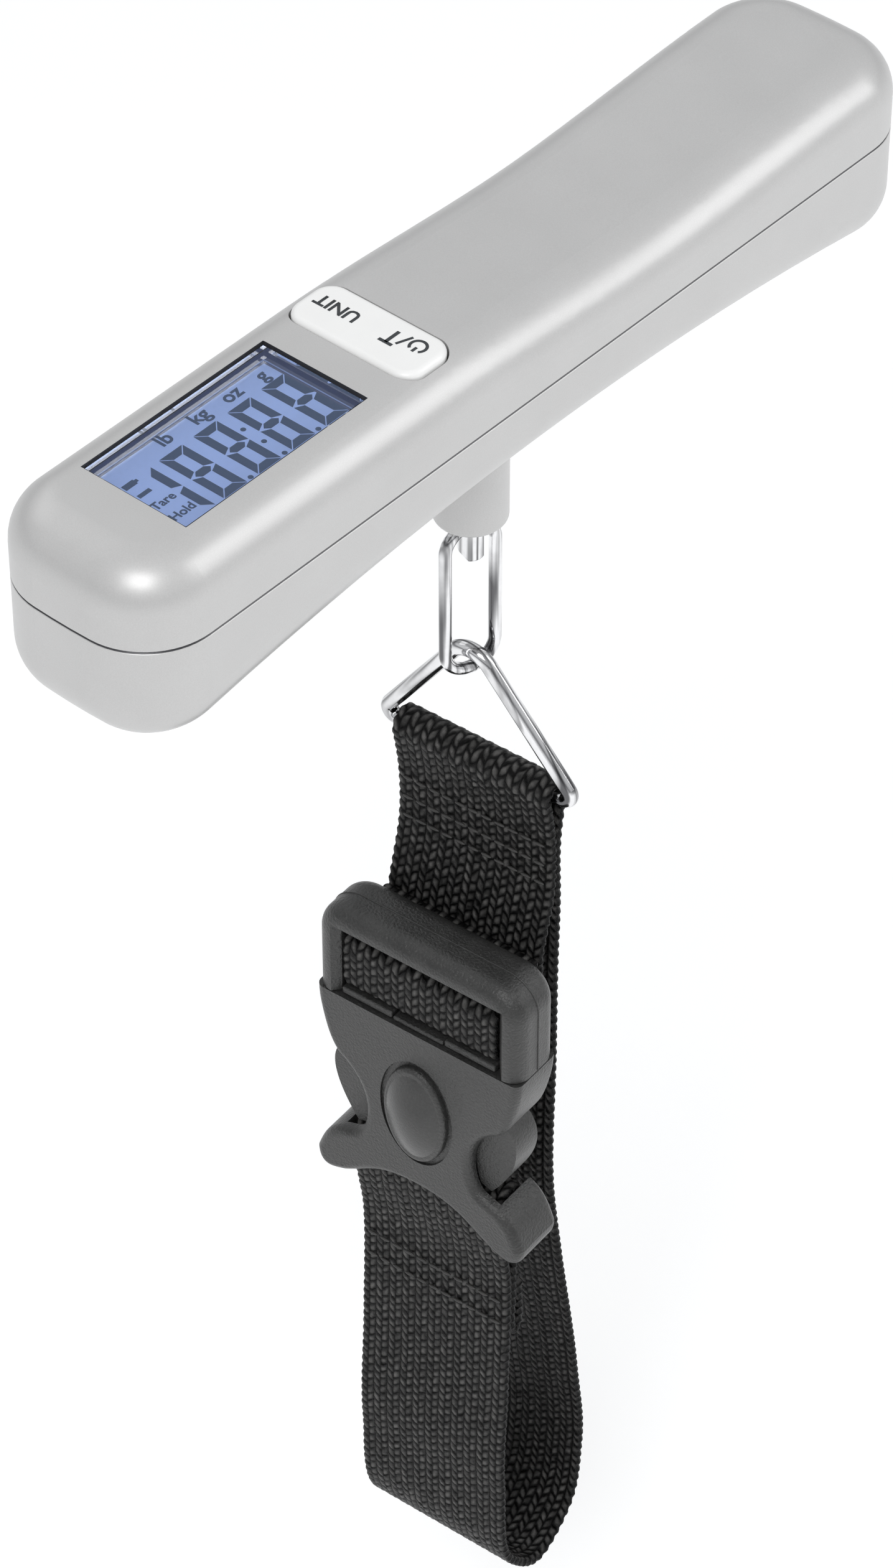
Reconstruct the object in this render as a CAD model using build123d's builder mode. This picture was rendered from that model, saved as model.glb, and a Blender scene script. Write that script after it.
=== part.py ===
from build123d import *
from math import atan2, cos, hypot, radians, sin
import os

# Digital luggage scale.  Millimetres, +Z up.  The origin is on the load line, at the
# height of the handle's parting line.  +X runs along the handle, away from the display.

# ---- driving dimensions: handle
HANDLE_LENGTH = 144.0
HANDLE_WIDTH = 28.2
END_BULGE = 0.9            # how far each end face bows out
CORNER_R = 10.0            # corners in plan
TOP_Z = 11.2               # top face above the parting line
DIP_DEPTH = 1.7            # the top sags this much between the button and the far end
DIP_START, DIP_LOW, DIP_END = -20.0, 20.0, 60.0
BELLY_Z = -11.1            # underside at the load line
BELLY_DROP = 6.3           # further down at the ends, because the underside is arched
TOP_EDGE_R = 6.5
BELLY_EDGE_R = 7.0
WALL = 1.8
SEAM_BEVEL = 0.22
NECK_R = 4.9
NECK_BORE_R = 3.2
NECK_Z = -28.9

# ---- display, button and electronics
WINDOW_X, WINDOW_L, WINDOW_W = -43.8, 31.0, 16.4
WINDOW_TOP = TOP_Z - 0.35
BUTTON_X, BUTTON_W, BUTTON_L = -18.7, 8.7, 20.2
BUTTON_TOP = TOP_Z + 0.45
BUTTON_GAP = 0.25
PIVOT_Z = 8.2
PIVOT_R = 0.8
BOARD_X0, BOARD_X1, BOARD_W = -64.0, -15.3, 21.6
BOARD_Z, BOARD_T = 1.6, 1.6
SWITCH_Y = 6.5

# ---- battery bay, under the display
CELL_R, CELL_L = 5.2, 44.5
CELL_Y, CELL_Z = 5.45, -4.4
CELL_X0 = -63.7
COVER_X0, COVER_X1, COVER_W = -65.0, -18.6, 22.6
COVER_GAP = 0.15

# ---- load cell
CELL_BAR_X0, CELL_BAR_X1 = -6.0, 54.0
CELL_BAR_W, CELL_BAR_Z0, CELL_BAR_Z1 = 12.0, -4.0, 3.0
GAUGE_X = (17.0, 31.0)
CLAMP_X = (42.0, 50.0)
SCREW_SITES = [(62.5, 0.0), (-11.6, 8.0), (-11.6, -8.0)]

# ---- chain link, ring and webbing
HANG_YAW = 4.3             # the strap hangs turned this much about the load line
LINK_YAW = -18.0
EYE_R, EYE_FLAT, EYE_Z = 1.9, 2.0, -35.3
LINK_WIRE_R, LINK_L, LINK_W = 0.85, 23.8, 7.4
LINK_TOP = -30.4           # centre of the wire in the eye
EYE_HOLE_R = 1.2
RING_WIRE_R = 1.1
RING_APEX_R, RING_CORNER_R = 3.4, 1.4
RING_PEAK = -49.1          # where the two legs' centre lines would meet
RING_HALF_BASE = 16.0
BAR_X, BAR_Z = 2.2, -71.6
WEB_W, WEB_T = 25.4, 1.25
PLY = 0.68                 # from the mid-plane of two sewn plies to each ply's centre
SPLIT_Z = -146.0           # the back ply's nodes meet here
TAIL_DROP = 2.4            # the webbing's upper end stops this far below the frame's top

# ---- buckle, seen from the front: x is the depth, y is across
BUCKLE_X0, BUCKLE_T = -12.0, 9.0
BUCKLE_HALF = 17.0
FRAME_TOP, FRAME_FOOT = -96.2, -111.7
SLOT_HALF, SLOT_TOP, SLOT_BEVEL = 13.2, -100.4, 1.1
BAR_TOP, BAR_FOOT = -102.5, -109.1
KEEPER_X0, KEEPER_X1 = -10.0, -6.6
HOUSING_TOP = -111.9
PLATE_FRONT, PLATE_BACK = 1.7, 1.3
ARM_T = 4.9
HINGE_Z, ARM_ROOT = -116.0, 0.75
LOOP_BAR_X, LOOP_BAR_Z, LOOP_BAR_R = -7.0, -140.3, 1.2
THROAT_HALF, STRAP_HALF = 12.6, 13.2
OVAL_Z, OVAL_A, OVAL_B = -126.8, 5.2, 8.6

os.makedirs("parts", exist_ok=True)
yaw = radians(HANG_YAW)
ACROSS = Vector(-sin(yaw), cos(yaw), 0)
DEPTH = Vector(cos(yaw), sin(yaw), 0)
DEPTH_AXIS = Axis((0, 0, 0), DEPTH)


def hang_side(y=0.0):
    """Upright plane along the strap's depth: local x is depth, local y is height."""
    return Plane(origin=ACROSS * y, x_dir=DEPTH, z_dir=-ACROSS)


def hang_front(depth):
    """Upright plane facing along the depth: local x is across, local y is height."""
    return Plane(origin=DEPTH * depth, x_dir=ACROSS, z_dir=DEPTH)


def hang_level(z):
    """Level plane turned with the strap: local x is depth, local y is across."""
    return Plane(origin=(0, 0, z), x_dir=DEPTH, z_dir=(0, 0, 1))


def belly(x):
    """Height of the arched underside at a place along the handle."""
    return BELLY_Z - BELLY_DROP * (2 * x / HANDLE_LENGTH) ** 2


def save(piece, name):
    """Name a finished part and write it."""
    piece.part.label = name
    export_step(piece.part, f"parts/{name}.step")


def handle_form(inset):
    """The handle's solid outer form, moved in by inset all round."""
    half_l, half_w = HANDLE_LENGTH / 2 - inset, HANDLE_WIDTH / 2 - inset
    end = half_l - END_BULGE
    with BuildPart() as form:
        with BuildSketch() as plan:
            with BuildLine():
                Line((-end, half_w), (end, half_w))
                ThreePointArc((end, half_w), (half_l, 0), (end, -half_w))
                Line((end, -half_w), (-end, -half_w))
                ThreePointArc((-end, -half_w), (-half_l, 0), (-end, half_w))
            make_face()
            fillet(plan.vertices(), CORNER_R - inset)
        extrude(amount=2 * HANDLE_WIDTH, both=True)
        with BuildSketch(Plane.XZ):
            top, low = TOP_Z - inset, belly(HANDLE_LENGTH / 2) + inset
            reach = HANDLE_LENGTH / 2 + 6
            with BuildLine():
                Line((-reach, top), (DIP_START, top))
                Spline((DIP_START, top), (DIP_LOW, top - DIP_DEPTH), (DIP_END, top),
                       tangents=((1, 0), (1, 0.02)))
                Line((DIP_END, top), (reach, top + 0.02 * (reach - DIP_END)))
                Line((reach, top + 0.02 * (reach - DIP_END)), (reach, low - 1))
                Line((reach, low - 1), (HANDLE_LENGTH / 2, low))
                ThreePointArc((HANDLE_LENGTH / 2, low), (0, BELLY_Z + inset), (-HANDLE_LENGTH / 2, low))
                Line((-HANDLE_LENGTH / 2, low), (-reach, low - 1))
                Line((-reach, low - 1), (-reach, top))
            make_face()
        extrude(amount=HANDLE_WIDTH, both=True, mode=Mode.INTERSECT)
        rim = form.edges().filter_by(Axis.Y, reverse=True)
        fillet(rim.filter_by(lambda e: e.center().Z > 6), TOP_EDGE_R - inset)
        rim = form.edges().filter_by(Axis.Y, reverse=True)
        fillet(rim.filter_by(lambda e: e.center().Z < -8 and e.bounding_box().size.Z < 8),
               BELLY_EDGE_R - inset)
    return form.part


outer = handle_form(0)
inner = handle_form(WALL)

# ================================================================ casing
boss_r, pilot_r, screw_r = 2.5, 0.95, 1.25

with BuildPart() as upper_shell:
    add(outer)
    split(bisect_by=Plane.XY, keep=Keep.TOP)
    chamfer(upper_shell.faces().sort_by(Axis.Z)[0].edges(), SEAM_BEVEL)
    add(inner, mode=Mode.SUBTRACT)
    with BuildSketch(Plane.XY.offset(0.1)):
        with Locations(*SCREW_SITES):
            Circle(boss_r)
    extrude(until=Until.NEXT, target=upper_shell.part)
    with BuildSketch(Plane.XY):
        with Locations(*SCREW_SITES):
            Circle(pilot_r)
    extrude(amount=7.0, mode=Mode.SUBTRACT)
    with BuildSketch(Plane.XY.offset(TOP_Z - WALL - 2)):
        with Locations((WINDOW_X, 0)):
            Rectangle(WINDOW_L + 0.2, WINDOW_W + 0.2)
        with Locations((BUTTON_X, 0)):
            RectangleRounded(BUTTON_W + 2 * BUTTON_GAP, BUTTON_L + 2 * BUTTON_GAP, 3.0)
    extrude(amount=WALL + 5, mode=Mode.SUBTRACT)
    # two lugs hang from the top wall and carry the rocker's stub pins
    for side in (-1, 1):
        with BuildSketch(Plane.YZ.offset(BUTTON_X + side * 6.0)):
            with Locations((0, PIVOT_Z + 0.3)):
                Rectangle(4.4, 3.4)
            with Locations((0, PIVOT_Z)):
                Circle(PIVOT_R + 0.06, mode=Mode.SUBTRACT)
        extrude(amount=0.6, both=True)
save(upper_shell, "upper_shell")

with BuildPart() as lower_shell:
    add(outer)
    split(bisect_by=Plane.XY, keep=Keep.BOTTOM)
    chamfer(lower_shell.faces().sort_by(Axis.Z)[-1].edges(), SEAM_BEVEL)
    with BuildSketch(Plane.XY.offset(NECK_Z)):
        Circle(NECK_R)
    extrude(amount=BELLY_Z - NECK_Z + 1.0)
    neck_root = lower_shell.edges(Select.LAST).filter_by(lambda e: -12 < e.center().Z < -10.5)
    fillet(neck_root.filter_by(GeomType.LINE, reverse=True), 0.8)
    fillet(lower_shell.faces().sort_by(Axis.Z)[0].edges(), 0.7)
    add(inner, mode=Mode.SUBTRACT)
    with BuildSketch(Plane.XY.offset(NECK_Z - 1)):
        Circle(NECK_BORE_R)
    extrude(amount=BELLY_Z - NECK_Z + 4, mode=Mode.SUBTRACT)
    # the plinth that the load cell's fixed end is screwed to
    with BuildSketch(Plane.XY.offset(CELL_BAR_Z0)):
        with Locations((sum(CLAMP_X) / 2, 0)):
            Rectangle(16, CELL_BAR_W - 0.4)
    extrude(until=Until.NEXT, target=lower_shell.part, dir=(0, 0, -1))
    with BuildSketch(Plane.XY.offset(CELL_BAR_Z0)):
        with Locations(*[(x, 0) for x in CLAMP_X]):
            Circle(1.45)
    extrude(amount=-6.0, mode=Mode.SUBTRACT)
    with BuildSketch(Plane.XY.offset(-0.1)):
        with Locations(*SCREW_SITES):
            Circle(boss_r)
    extrude(until=Until.NEXT, target=lower_shell.part, dir=(0, 0, -1))
    # end walls of the battery bay
    for wall_x in (CELL_X0 - 4.6, CELL_X0 + CELL_L + 4.0):
        with BuildSketch(Plane.YZ.offset(wall_x)):
            with Locations((0, CELL_Z - 1.5)):
                Rectangle(20.6, 10.0)
        extrude(amount=0.5, both=True)
    with BuildSketch(Plane.XY.offset(-30)):
        with Locations(*SCREW_SITES):
            Circle(screw_r)
    extrude(amount=31, mode=Mode.SUBTRACT)
    for site in SCREW_SITES:
        with BuildSketch(Plane.XY.offset(belly(site[0]) + 1.9)):
            with Locations(site):
                Circle(2.3)
        extrude(amount=-12, mode=Mode.SUBTRACT)
    with BuildSketch(Plane.XY.offset(-30)):
        with Locations(((COVER_X0 + COVER_X1) / 2, 0)):
            RectangleRounded(COVER_X1 - COVER_X0 + 2 * COVER_GAP, COVER_W + 2 * COVER_GAP, 3.0)
    extrude(amount=30 + CELL_Z - 3.2, mode=Mode.SUBTRACT)
save(lower_shell, "lower_shell")

with BuildPart() as battery_cover:
    add(outer)
    add(inner, mode=Mode.SUBTRACT)
    with BuildSketch(Plane.XY.offset(-30)):
        with Locations(((COVER_X0 + COVER_X1) / 2, 0)):
            RectangleRounded(COVER_X1 - COVER_X0, COVER_W, 2.85)
    extrude(amount=30 + CELL_Z - 3.2, mode=Mode.INTERSECT)
    # two hooks that reach over the casing's wall at the outer end
    for side in (-1, 1):
        with BuildSketch(Plane.XZ.offset(side * 4.5)):
            floor = belly(COVER_X0) + WALL
            with BuildLine():
                Polyline((COVER_X0 + 2.5, floor - 0.6), (COVER_X0 + 2.5, floor + 1.4),
                         (COVER_X0 - 1.3, floor + 1.4), (COVER_X0 - 1.3, floor + 0.5),
                         (COVER_X0 + 0.3, floor + 0.5), (COVER_X0 + 0.3, floor - 0.6), close=True)
            make_face()
        extrude(amount=2.0, both=True)
    # thumb groove at the inner end
    with BuildSketch(Plane.XZ):
        with Locations((COVER_X1 - 4.2, belly(COVER_X1 - 4.2) - 2.2)):
            Circle(2.9)
    extrude(amount=5.0, both=True, mode=Mode.SUBTRACT)
save(battery_cover, "battery_cover")

with BuildPart() as casing_screws:
    for site in SCREW_SITES:
        head_z = belly(site[0]) + 1.85
        with BuildSketch(Plane.XY.offset(head_z)):
            with Locations(site):
                Circle(2.1)
        extrude(amount=-1.3)
        with BuildSketch(Plane.XY.offset(head_z - 0.1)):
            with Locations(site):
                Circle(0.94)
        extrude(amount=6.6 - head_z)
        with BuildSketch(Plane.XY.offset(head_z - 1.4)):
            with Locations(site):
                Rectangle(2.6, 0.55)
                Rectangle(0.55, 2.6)
        extrude(amount=0.9, mode=Mode.SUBTRACT)
save(casing_screws, "casing_screws")

# ================================================================ display
FLANGE_Z = TOP_Z - WALL - 1.4
with BuildPart() as display_window:
    with BuildSketch(Plane.XY.offset(FLANGE_Z)):
        with Locations((WINDOW_X, 0)):
            Rectangle(WINDOW_L + 2.4, WINDOW_W + 2.4)
    extrude(amount=0.9)
    with BuildSketch(Plane.XY.offset(FLANGE_Z)):
        with Locations((WINDOW_X, 0)):
            Rectangle(WINDOW_L, WINDOW_W)
    extrude(amount=WINDOW_TOP - FLANGE_Z)
    chamfer(display_window.faces().sort_by(Axis.Z)[-1].edges(), 0.25)
save(display_window, "display_window")

GLASS_Z = BOARD_Z + BOARD_T + 2.5
with BuildPart() as display_glass:
    with BuildSketch(Plane.XY.offset(GLASS_Z)):
        with Locations((WINDOW_X, 0)):
            Rectangle(WINDOW_L + 1.6, WINDOW_W + 1.2)
    extrude(amount=1.9)
save(display_glass, "display_glass")

with BuildPart() as display_backlight:
    with BuildSketch(Plane.XY.offset(BOARD_Z + BOARD_T + 0.05)):
        with Locations((WINDOW_X, 0)):
            Rectangle(WINDOW_L + 1.6, WINDOW_W - 2.6)
    extrude(amount=2.4)
save(display_backlight, "display_backlight")

with BuildPart() as display_frame:
    with BuildSketch(Plane.XY.offset(BOARD_Z + BOARD_T)):
        with Locations((WINDOW_X, 0)):
            Rectangle(WINDOW_L + 4.4, WINDOW_W + 4.4)
            Rectangle(WINDOW_L + 1.8, WINDOW_W + 1.4, mode=Mode.SUBTRACT)
    extrude(amount=FLANGE_Z - 0.05 - BOARD_Z - BOARD_T)
save(display_frame, "display_frame")

# rubber strips that carry the display's signals down to the board
with BuildPart() as zebra_strips:
    with BuildSketch(Plane.XY.offset(BOARD_Z + BOARD_T + 0.02)):
        with Locations((WINDOW_X, 8.15), (WINDOW_X, -8.15)):
            Rectangle(WINDOW_L, 1.1)
    extrude(amount=2.45)
save(zebra_strips, "zebra_strips")

# ================================================================ electronics
with BuildPart() as circuit_board:
    with BuildSketch(Plane.XY.offset(BOARD_Z)):
        with Locations(((BOARD_X0 + BOARD_X1) / 2, 0)):
            Rectangle(BOARD_X1 - BOARD_X0, BOARD_W)
    extrude(amount=BOARD_T)
    fillet(circuit_board.edges().filter_by(Axis.Z), 1.5)
save(circuit_board, "circuit_board")

with BuildPart() as board_chips:
    with BuildSketch(Plane.XY.offset(BOARD_Z)):
        with Locations((-34, 0), (-50, 0)):
            Rectangle(7, 4.6)
        with Locations((-23, 1.5), (-23, -1.5), (-42, 1), (-27, 0)):
            Rectangle(1.8, 1.0)
    extrude(amount=-1.1)
save(board_chips, "board_chips")

with BuildPart() as key_switches:
    for side in (-1, 1):
        with BuildSketch(Plane.XY.offset(BOARD_Z + BOARD_T)):
            with Locations((BUTTON_X, side * SWITCH_Y)):
                Rectangle(6, 6)
        extrude(amount=2.6)
        with BuildSketch(Plane.XY.offset(BOARD_Z + BOARD_T + 2.5)):
            with Locations((BUTTON_X, side * SWITCH_Y)):
                Circle(1.7)
        extrude(amount=0.7)
save(key_switches, "key_switches")

KEY_TOP = BOARD_Z + BOARD_T + 3.2
POST_GAP = 0.38            # from a key's cap to the post above it, a little over the tilt's travel
with BuildPart() as rocker_button:
    with BuildSketch(Plane.XY.offset(TOP_Z - WALL)):
        with Locations((BUTTON_X, 0)):
            RectangleRounded(BUTTON_W, BUTTON_L, 2.8)
    extrude(amount=BUTTON_TOP - (TOP_Z - WALL))
    fillet(rocker_button.faces().sort_by(Axis.Z)[-1].edges(), 0.8)
    with BuildSketch(Plane.XY.offset(PIVOT_Z - 1.2)):
        with Locations((BUTTON_X, 0)):
            Rectangle(7.6, 3.6)
    extrude(amount=TOP_Z - WALL - PIVOT_Z + 1.4)
    with BuildSketch(Plane.YZ.offset(BUTTON_X)):
        with Locations((0, PIVOT_Z)):
            Circle(PIVOT_R)
    extrude(amount=6.5, both=True)
    for side in (-1, 1):
        with BuildSketch(Plane.XY.offset(KEY_TOP + POST_GAP)):
            with Locations((BUTTON_X, side * SWITCH_Y)):
                Circle(1.4)
        extrude(amount=TOP_Z - WALL - KEY_TOP)
save(rocker_button, "rocker_button")

# ================================================================ batteries
with BuildPart() as battery_cells:
    for side in (-1, 1):
        nose = CELL_X0 + (CELL_L if side > 0 else 0)
        with BuildSketch(Plane.YZ.offset(CELL_X0 + (0 if side > 0 else 0.8))):
            with Locations((side * CELL_Y, CELL_Z)):
                Circle(CELL_R)
        extrude(amount=CELL_L - 0.8)
        with BuildSketch(Plane.YZ.offset(nose - (0.8 if side > 0 else 0))):
            with Locations((side * CELL_Y, CELL_Z)):
                Circle(1.9)
        extrude(amount=0.85)
save(battery_cells, "battery_cells")

# each end has one plate, with a pad for a cell's nose and a cone spring for the other's base
with BuildPart() as battery_plates:
    for plate_x, pad_y, inward in ((CELL_X0 - 3.6, -CELL_Y, 1), (CELL_X0 + CELL_L + 3.1, CELL_Y, -1)):
        with BuildSketch(Plane.YZ.offset(plate_x)):
            with Locations((0, CELL_Z)):
                Rectangle(17.0, 6.0)
        extrude(amount=-0.4 * inward)
        nose_x = CELL_X0 if inward > 0 else CELL_X0 + CELL_L + 0.05
        with BuildSketch(Plane.YZ.offset(plate_x)):
            with Locations((pad_y, CELL_Z)):
                Circle(2.4)
        extrude(amount=nose_x - plate_x - 0.05 * inward)
save(battery_plates, "battery_plates")

with BuildPart() as battery_springs:
    for base_x, spring_y, inward, rise in ((CELL_X0 - 3.3, CELL_Y, 1, 2.9),
                                           (CELL_X0 + CELL_L + 2.8, -CELL_Y, -1, 2.4)):
        with BuildLine() as coil:
            Helix(pitch=rise / 3, height=rise, radius=2.8, center=(base_x, spring_y, CELL_Z),
                  direction=(inward, 0, 0))
        with BuildSketch(Plane(origin=coil.line @ 0, z_dir=coil.line % 0)):
            Circle(0.22)
        sweep(path=coil.line)
save(battery_springs, "battery_springs")

# ================================================================ load cell
with BuildPart() as load_cell:
    with BuildSketch(Plane.XZ):
        with BuildLine():
            Polyline((CELL_BAR_X0, CELL_BAR_Z0), (CELL_BAR_X1, CELL_BAR_Z0),
                     (CELL_BAR_X1, CELL_BAR_Z1), (CELL_BAR_X0, CELL_BAR_Z1), close=True)
        make_face()
        mid_z = (CELL_BAR_Z0 + CELL_BAR_Z1) / 2
        with Locations(*[(x, mid_z) for x in GAUGE_X]):
            Circle(2.4, mode=Mode.SUBTRACT)
        with Locations((sum(GAUGE_X) / 2, mid_z)):
            Rectangle(GAUGE_X[1] - GAUGE_X[0], 1.6, mode=Mode.SUBTRACT)
    extrude(amount=CELL_BAR_W / 2, both=True)
    with BuildSketch(Plane.XY.offset(CELL_BAR_Z0)):
        Circle(1.95)
        with Locations(*[(x, 0) for x in CLAMP_X]):
            Circle(1.6)
    extrude(amount=CELL_BAR_Z1 - CELL_BAR_Z0, mode=Mode.SUBTRACT)
save(load_cell, "load_cell")

with BuildPart() as strain_gauges:
    for gauge_z in (CELL_BAR_Z1, CELL_BAR_Z0 - 0.3):
        with BuildSketch(Plane.XY.offset(gauge_z)):
            with Locations(*[(x, 0) for x in GAUGE_X]):
                RectangleRounded(7.0, 4.6, 0.8)
        extrude(amount=0.3)
save(strain_gauges, "strain_gauges")

with BuildPart() as load_cell_screws:
    for x in CLAMP_X:
        with BuildSketch(Plane.XY.offset(CELL_BAR_Z1)):
            with Locations((x, 0)):
                Circle(2.7)
                Rectangle(3.2, 0.7, mode=Mode.SUBTRACT)
                Rectangle(0.7, 3.2, mode=Mode.SUBTRACT)
        extrude(amount=1.8)
        with BuildSketch(Plane.XY.offset(CELL_BAR_Z0 - 5.6)):
            with Locations((x, 0)):
                Circle(1.43)
        extrude(amount=CELL_BAR_Z1 - CELL_BAR_Z0 + 6.0)
save(load_cell_screws, "load_cell_screws")

# ================================================================ load eye and its nut
link_yaw = radians(LINK_YAW)
LINK_DIR = Vector(cos(link_yaw), sin(link_yaw), 0)
LINK_NORMAL = Vector(-sin(link_yaw), cos(link_yaw), 0)
link_side = Plane(origin=(0, 0, 0), x_dir=LINK_DIR, z_dir=-LINK_NORMAL)

with BuildPart() as load_eye:
    with BuildSketch(Plane.XY.offset(EYE_Z)):
        Circle(EYE_R)
    extrude(amount=CELL_BAR_Z1 + 3.6 - EYE_Z)
    fillet(load_eye.faces().sort_by(Axis.Z)[0].edges(), 0.6)
    flats = Plane(origin=(0, 0, EYE_Z), x_dir=LINK_DIR, z_dir=(0, 0, 1))
    with BuildSketch(flats):
        with Locations((EYE_FLAT / 2 + 2, 0), (-EYE_FLAT / 2 - 2, 0)):
            Rectangle(4, 6)
    extrude(amount=9.0, mode=Mode.SUBTRACT)
    with BuildSketch(Plane(origin=(0, 0, 0), x_dir=LINK_NORMAL, z_dir=LINK_DIR)):
        with Locations((0, LINK_TOP)):
            Circle(EYE_HOLE_R)
    extrude(amount=4, both=True, mode=Mode.SUBTRACT)
save(load_eye, "load_eye")

with BuildPart() as eye_nut:
    with BuildSketch(Plane.XY.offset(CELL_BAR_Z1 + 0.02)):
        RegularPolygon(radius=3.5, side_count=6, major_radius=False)
        Circle(EYE_R + 0.02, mode=Mode.SUBTRACT)
    extrude(amount=2.8)
save(eye_nut, "eye_nut")

# ================================================================ wiring
def wire(points, radius, bend):
    """A straight-run wire with round bends at its inner points."""
    with BuildPart() as run:
        with BuildLine() as route:
            FilletPolyline(*points, radius=bend)
        with BuildSketch(Plane(origin=route.line @ 0, z_dir=route.line % 0)):
            Circle(radius)
        sweep(path=route.line)
    return run


sensor_lead = wire([(16.0, 4.9, 3.75), (2.0, 7.6, 3.75), (-7.0, 4.4, 4.2), (-15.0, 4.4, 4.2)], 0.6, 3.0)
save(sensor_lead, "sensor_lead")

# ================================================================ chain link
with BuildPart() as chain_link:
    mid = LINK_TOP - LINK_L / 2
    straight = (LINK_L - LINK_W) / 2
    with BuildLine(link_side) as link_path:
        Line((LINK_W / 2, mid - straight), (LINK_W / 2, mid + straight))
        ThreePointArc((LINK_W / 2, mid + straight), (0, LINK_TOP), (-LINK_W / 2, mid + straight))
        Line((-LINK_W / 2, mid + straight), (-LINK_W / 2, mid - straight))
        ThreePointArc((-LINK_W / 2, mid - straight), (0, LINK_TOP - LINK_L), (LINK_W / 2, mid - straight))
    start = LINK_DIR * (LINK_W / 2) + Vector(0, 0, mid - straight)
    with BuildSketch(Plane(origin=start, z_dir=(0, 0, 1))):
        Circle(LINK_WIRE_R)
    sweep(path=link_path.line)
save(chain_link, "chain_link")

# ================================================================ triangle ring
ring_low = hypot(BAR_X, RING_PEAK - BAR_Z)
ring_lean = atan2(BAR_X, RING_PEAK - BAR_Z)
ring_up = (DEPTH * -sin(ring_lean) + Vector(0, 0, cos(ring_lean))).normalized()
ring_plane = Plane(origin=(0, 0, RING_PEAK), x_dir=ACROSS, z_dir=ACROSS.cross(ring_up))
with BuildPart() as triangle_ring:
    with BuildLine(ring_plane) as ring_path:
        FilletPolyline((3.0, -ring_low), (RING_HALF_BASE, -ring_low), (0, 0), (-RING_HALF_BASE, -ring_low),
                       (-3.0, -ring_low), radius=(RING_CORNER_R, RING_APEX_R, RING_CORNER_R))
        Line((-3.0, -ring_low), (3.0, -ring_low))
    with BuildSketch(Plane(origin=ring_plane.from_local_coords((3.0, -ring_low, 0)), z_dir=ACROSS)):
        Circle(RING_WIRE_R)
    sweep(path=ring_path.line)
save(triangle_ring, "triangle_ring")

# ================================================================ webbing
fold_r = RING_WIRE_R + 0.15 + WEB_T / 2
keeper_gap = 0.15 + WEB_T / 2
front_x, under_z = KEEPER_X0 - keeper_gap, BAR_FOOT - keeper_gap
over_z = BAR_TOP + keeper_gap
tail_x = BUCKLE_X0 + BUCKLE_T + 0.25 + WEB_T / 2
main_x = tail_x + WEB_T + 0.1


def ribbon(*edges):
    """Faces that follow each edge at half the webbing's thickness to either side of it."""
    for edge in edges:
        count = 2 if edge.geom_type == GeomType.LINE else 13
        spots = [i / (count - 1) for i in range(count)]
        left = [edge @ t + (edge % t).rotate(Axis.Z, 90) * (WEB_T / 2) for t in spots]
        right = [edge @ t - (edge % t).rotate(Axis.Z, 90) * (WEB_T / 2) for t in spots]
        with BuildLine() as outline:
            if count == 2:
                Line(*left)
                Line(*right)
            else:
                Spline(*left, tangents=(edge % 0, edge % 1))
                Spline(*right, tangents=(edge % 0, edge % 1))
            Line(left[0], right[0])
            Line(left[-1], right[-1])
        make_face(outline.edges())


with BuildPart() as strap_upper:
    with BuildLine(mode=Mode.PRIVATE) as strap_path:
        # over the ring's bar, front ply on the left and back ply on the right
        CenterArc((BAR_X, BAR_Z), fold_r, -20, 220)
        lean_x, lean_z = fold_r * cos(radians(20)), fold_r * sin(radians(20))
        Spline((BAR_X - lean_x, BAR_Z - lean_z), (BAR_X - PLY, -78.5), (BAR_X - PLY, -89.0), (main_x, -98.5),
               tangents=((lean_z, -lean_x), (0, -1)))
        Spline((BAR_X + lean_x, BAR_Z - lean_z), (BAR_X + PLY, -78.5), (BAR_X + PLY, -92.0), (2.6, -120.0),
               (2.6, SPLIT_Z), tangents=((-lean_z, -lean_x), (0, -1)))
        # down behind the frame, under the keeper bar, up its front and back over its top
        Line((main_x, -98.5), (main_x, under_z + 3))
        JernArc((main_x, under_z + 3), (0, -1), 3, -90)
        Line((main_x - 3, under_z), (front_x + 1.2, under_z))
        JernArc((front_x + 1.2, under_z), (-1, 0), 1.2, -90)
        Line((front_x, under_z + 1.2), (front_x, over_z - 1.2))
        JernArc((front_x, over_z - 1.2), (0, 1), 1.2, -90)
        Line((front_x + 1.2, over_z), (tail_x - 1.0, over_z))
        JernArc((tail_x - 1.0, over_z), (1, 0), 1.0, 90)
        Line((tail_x, over_z + 1.0), (tail_x, FRAME_TOP - TAIL_DROP))
    with BuildSketch(hang_side()):
        ribbon(*strap_path.edges())
    extrude(amount=WEB_W / 2, both=True)
save(strap_upper, "strap_upper")

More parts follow.
